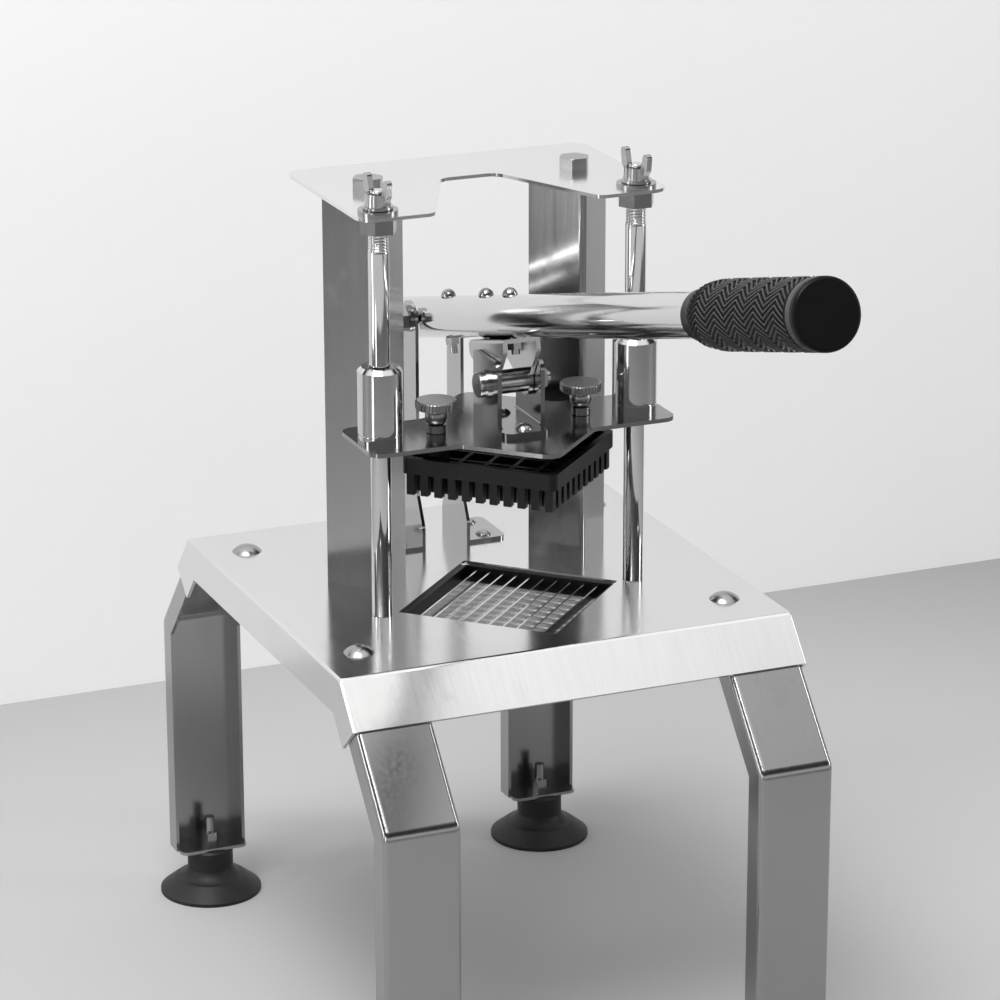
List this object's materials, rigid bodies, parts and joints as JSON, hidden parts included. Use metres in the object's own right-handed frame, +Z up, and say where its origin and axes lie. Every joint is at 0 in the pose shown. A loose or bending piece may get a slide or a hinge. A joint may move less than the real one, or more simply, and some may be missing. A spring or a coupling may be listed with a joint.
{
  "type": "lever french fry cutter",
  "caption": "Free-standing lever press with a sliding ribbed pusher block that forces a potato down through a square blade grid in a sheet-metal table.",
  "frame": {"origin": "centre of the bounding box at the underside of the feet", "axes": "+Z up, -Y to the front where the grip is, +X to the right"},
  "size_m": [0.2934, 0.6502, 0.5454],
  "materials": {
    "foot_rubber": "matt",
    "grip_rubber": "matt",
    "pusher_plastic": "satin",
    "black_frame": "satin",
    "blade_steel": "polished",
    "bronze": "satin",
    "sheet_steel": "polished",
    "polished_steel": "polished",
    "fastener_steel": "satin"
  },
  "bodies": {
    "frame": {"base_bolt_nuts": "fastener_steel", "base_bolts": "fastener_steel", "blade_frame": "black_frame", "blade_frame_nuts": "fastener_steel", "blade_frame_studs": "fastener_steel", "blades_lower": "blade_steel", "blades_upper": "blade_steel", "foot_front_left": "foot_rubber", "foot_front_right": "foot_rubber", "foot_nuts": "fastener_steel", "foot_rear_left": "foot_rubber", "foot_rear_right": "foot_rubber", "foot_studs": "fastener_steel", "guide_rod_left": "polished_steel", "guide_rod_right": "polished_steel", "leg_front_left": "sheet_steel", "leg_front_right": "sheet_steel", "leg_rear_left": "sheet_steel", "leg_rear_right": "sheet_steel", "leg_screw_nuts": "fastener_steel", "leg_screws": "fastener_steel", "pivot_bolt": "fastener_steel", "pivot_nut": "fastener_steel", "pivot_washers": "fastener_steel", "rear_ear_left": "sheet_steel", "rear_ear_nuts": "fastener_steel", "rear_ear_right": "sheet_steel", "rear_ear_screws": "fastener_steel", "rod_base_nuts": "fastener_steel", "rod_lock_nuts": "fastener_steel", "rod_washers": "fastener_steel", "table_plate": "sheet_steel", "top_bolt_nuts": "fastener_steel", "top_bolts": "fastener_steel", "top_plate": "sheet_steel", "upright_left": "sheet_steel", "upright_right": "sheet_steel"},
    "carriage": {"carriage_plate": "sheet_steel", "clevis_bracket": "sheet_steel", "clevis_pin": "polished_steel", "clevis_pin_nut": "fastener_steel", "clevis_pin_washer": "fastener_steel", "clevis_screw_nuts": "fastener_steel", "clevis_screws": "fastener_steel", "guide_sleeve_left": "polished_steel", "guide_sleeve_right": "polished_steel", "pusher_block": "pusher_plastic", "pusher_inserts": "bronze", "sleeve_liners": "bronze"},
    "lever": {"grip": "grip_rubber", "grip_cap": "grip_rubber", "lever_tube": "polished_steel", "lever_yoke": "sheet_steel", "pin_sleeve": "polished_steel", "yoke_bolts": "fastener_steel", "yoke_nuts": "fastener_steel"},
    "thumb_screw_left_body": {"thumb_screw_left": "fastener_steel"},
    "thumb_screw_right_body": {"thumb_screw_right": "fastener_steel"},
    "wing_nut_left_body": {"wing_nut_left": "fastener_steel"},
    "wing_nut_right_body": {"wing_nut_right": "fastener_steel"}
  },
  "joints": [
    {"name": "press_slide", "type": "slide", "parent": "frame", "child": "carriage", "axis": [0, 0, 1], "range_m": [-0.084, 0.042]},
    {"name": "lever_hinge", "type": "hinge", "parent": "carriage", "child": "lever", "pos_m": [0, 0.07261, 0.3864], "axis": [-1, 0, 0], "range_deg": [-39.6, 19.8]},
    {"name": "thumb_turn_left", "type": "hinge", "parent": "carriage", "child": "thumb_screw_left_body", "pos_m": [-0.0452, 0.07261, 0.365], "axis": [0, 0, 1], "continuous": true},
    {"name": "thumb_turn_right", "type": "hinge", "parent": "carriage", "child": "thumb_screw_right_body", "pos_m": [0.0452, 0.07261, 0.365], "axis": [0, 0, 1], "continuous": true},
    {"name": "wing_turn_left", "type": "hinge", "parent": "frame", "child": "wing_nut_left_body", "pos_m": [-0.0795, 0.07261, 0.5], "axis": [0, 0, 1], "continuous": true},
    {"name": "wing_turn_right", "type": "hinge", "parent": "frame", "child": "wing_nut_right_body", "pos_m": [0.0795, 0.07261, 0.5], "axis": [0, 0, 1], "continuous": true}
  ],
  "couplings": [
    {"joint": "lever_hinge", "follows": "press_slide", "rad_per_m": 8.203}
  ]
}
